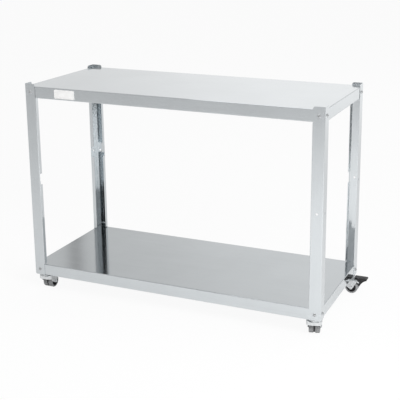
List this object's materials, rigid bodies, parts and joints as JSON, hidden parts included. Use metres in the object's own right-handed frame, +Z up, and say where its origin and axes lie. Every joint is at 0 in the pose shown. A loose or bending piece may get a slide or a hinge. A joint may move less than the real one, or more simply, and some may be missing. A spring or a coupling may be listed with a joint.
{
  "type": "grill stand",
  "caption": "Stainless rolling stand for a table-top grill: folded worktop and shelf bolted to folded corner posts, on swivelling twin-wheel castors with brakes at the rear.",
  "frame": {"origin": "on the floor under the middle of the stand", "axes": "+X along the stand's length to the right, +Y from the front to the rear, +Z up"},
  "size_m": [1.306, 0.508, 0.85],
  "materials": {
    "stainless_sheet": "bright stainless sheet, faintly brushed",
    "stainless_fastener": "plain stainless",
    "zinc_steel": "bright zinc plate",
    "bearing_steel": "polished",
    "black_plastic": "moulded nylon",
    "grey_rubber": "matt grey tread"
  },
  "bodies": {
    "stand": {"leg_front_left": "stainless_sheet", "leg_front_right": "stainless_sheet", "leg_rear_left": "stainless_sheet", "leg_rear_right": "stainless_sheet", "top_panel": "stainless_sheet", "top_stiffener_front": "stainless_sheet", "top_stiffener_rear": "stainless_sheet", "bottom_shelf": "stainless_sheet", "shelf_stiffener": "stainless_sheet", "castor_rail_left": "zinc_steel", "castor_rail_right": "zinc_steel", "top_bolts": "stainless_fastener", "top_nuts": "stainless_fastener", "shelf_bolts": "stainless_fastener", "shelf_nuts": "stainless_fastener", "castor_bolts": "stainless_fastener", "castor_nuts": "stainless_fastener", "castor_fl_plate": "zinc_steel", "castor_fl_kingpin": "zinc_steel", "castor_fl_balls": "bearing_steel", "castor_fr_plate": "zinc_steel", "castor_fr_kingpin": "zinc_steel", "castor_fr_balls": "bearing_steel", "castor_rl_plate": "zinc_steel", "castor_rl_kingpin": "zinc_steel", "castor_rl_balls": "bearing_steel", "castor_rr_plate": "zinc_steel", "castor_rr_kingpin": "zinc_steel", "castor_rr_balls": "bearing_steel"},
    "castor_fl_swivel": {"castor_fl_fork": "zinc_steel", "castor_fl_axle": "zinc_steel"},
    "castor_fl_wheel_left": {"castor_fl_hub_left": "black_plastic", "castor_fl_tyre_left": "grey_rubber"},
    "castor_fl_wheel_right": {"castor_fl_hub_right": "black_plastic", "castor_fl_tyre_right": "grey_rubber"},
    "castor_fr_swivel": {"castor_fr_fork": "zinc_steel", "castor_fr_axle": "zinc_steel"},
    "castor_fr_wheel_left": {"castor_fr_hub_left": "black_plastic", "castor_fr_tyre_left": "grey_rubber"},
    "castor_fr_wheel_right": {"castor_fr_hub_right": "black_plastic", "castor_fr_tyre_right": "grey_rubber"},
    "castor_rl_swivel": {"castor_rl_fork": "zinc_steel", "castor_rl_axle": "zinc_steel", "castor_rl_pedal_pin": "zinc_steel"},
    "castor_rl_wheel_left": {"castor_rl_hub_left": "black_plastic", "castor_rl_tyre_left": "grey_rubber"},
    "castor_rl_wheel_right": {"castor_rl_hub_right": "black_plastic", "castor_rl_tyre_right": "grey_rubber"},
    "castor_rl_brake": {"castor_rl_pedal": "black_plastic"},
    "castor_rr_swivel": {"castor_rr_fork": "zinc_steel", "castor_rr_axle": "zinc_steel", "castor_rr_pedal_pin": "zinc_steel"},
    "castor_rr_wheel_left": {"castor_rr_hub_left": "black_plastic", "castor_rr_tyre_left": "grey_rubber"},
    "castor_rr_wheel_right": {"castor_rr_hub_right": "black_plastic", "castor_rr_tyre_right": "grey_rubber"},
    "castor_rr_brake": {"castor_rr_pedal": "black_plastic"}
  },
  "joints": [
    {"name": "castor_fl_swivel_turn", "type": "hinge", "parent": "stand", "child": "castor_fl_swivel", "pos_m": [-0.568, -0.218, 0.06], "axis": [0, 0, 1], "continuous": true},
    {"name": "castor_fl_wheel_left_spin", "type": "hinge", "parent": "castor_fl_swivel", "child": "castor_fl_wheel_left", "pos_m": [-0.568, -0.194, 0.025], "axis": [-1, 0, 0], "continuous": true},
    {"name": "castor_fl_wheel_right_spin", "type": "hinge", "parent": "castor_fl_swivel", "child": "castor_fl_wheel_right", "pos_m": [-0.568, -0.194, 0.025], "axis": [-1, 0, 0], "continuous": true},
    {"name": "castor_fr_swivel_turn", "type": "hinge", "parent": "stand", "child": "castor_fr_swivel", "pos_m": [0.568, -0.218, 0.06], "axis": [0, 0, 1], "continuous": true},
    {"name": "castor_fr_wheel_left_spin", "type": "hinge", "parent": "castor_fr_swivel", "child": "castor_fr_wheel_left", "pos_m": [0.5626, -0.19462, 0.025], "axis": [-0.9744, -0.225, 0], "continuous": true},
    {"name": "castor_fr_wheel_right_spin", "type": "hinge", "parent": "castor_fr_swivel", "child": "castor_fr_wheel_right", "pos_m": [0.5626, -0.19462, 0.025], "axis": [-0.9744, -0.225, 0], "continuous": true},
    {"name": "castor_rl_swivel_turn", "type": "hinge", "parent": "stand", "child": "castor_rl_swivel", "pos_m": [-0.568, 0.218, 0.06], "axis": [0, 0, 1], "continuous": true},
    {"name": "castor_rl_wheel_left_spin", "type": "hinge", "parent": "castor_rl_swivel", "child": "castor_rl_wheel_left", "pos_m": [-0.592, 0.218, 0.025], "axis": [0, -1, 0], "continuous": true},
    {"name": "castor_rl_wheel_right_spin", "type": "hinge", "parent": "castor_rl_swivel", "child": "castor_rl_wheel_right", "pos_m": [-0.592, 0.218, 0.025], "axis": [0, -1, 0], "continuous": true},
    {"name": "castor_rl_brake_press", "type": "hinge", "parent": "castor_rl_swivel", "child": "castor_rl_brake", "pos_m": [-0.608, 0.218, 0.053], "axis": [0, -1, 0], "range_deg": [0, 10]},
    {"name": "castor_rr_swivel_turn", "type": "hinge", "parent": "stand", "child": "castor_rr_swivel", "pos_m": [0.568, 0.218, 0.06], "axis": [0, 0, 1], "continuous": true},
    {"name": "castor_rr_wheel_left_spin", "type": "hinge", "parent": "castor_rr_swivel", "child": "castor_rr_wheel_left", "pos_m": [0.592, 0.218, 0.025], "axis": [0, 1, 0], "continuous": true},
    {"name": "castor_rr_wheel_right_spin", "type": "hinge", "parent": "castor_rr_swivel", "child": "castor_rr_wheel_right", "pos_m": [0.592, 0.218, 0.025], "axis": [0, 1, 0], "continuous": true},
    {"name": "castor_rr_brake_press", "type": "hinge", "parent": "castor_rr_swivel", "child": "castor_rr_brake", "pos_m": [0.608, 0.218, 0.053], "axis": [0, 1, 0], "range_deg": [0, 10]}
  ]
}
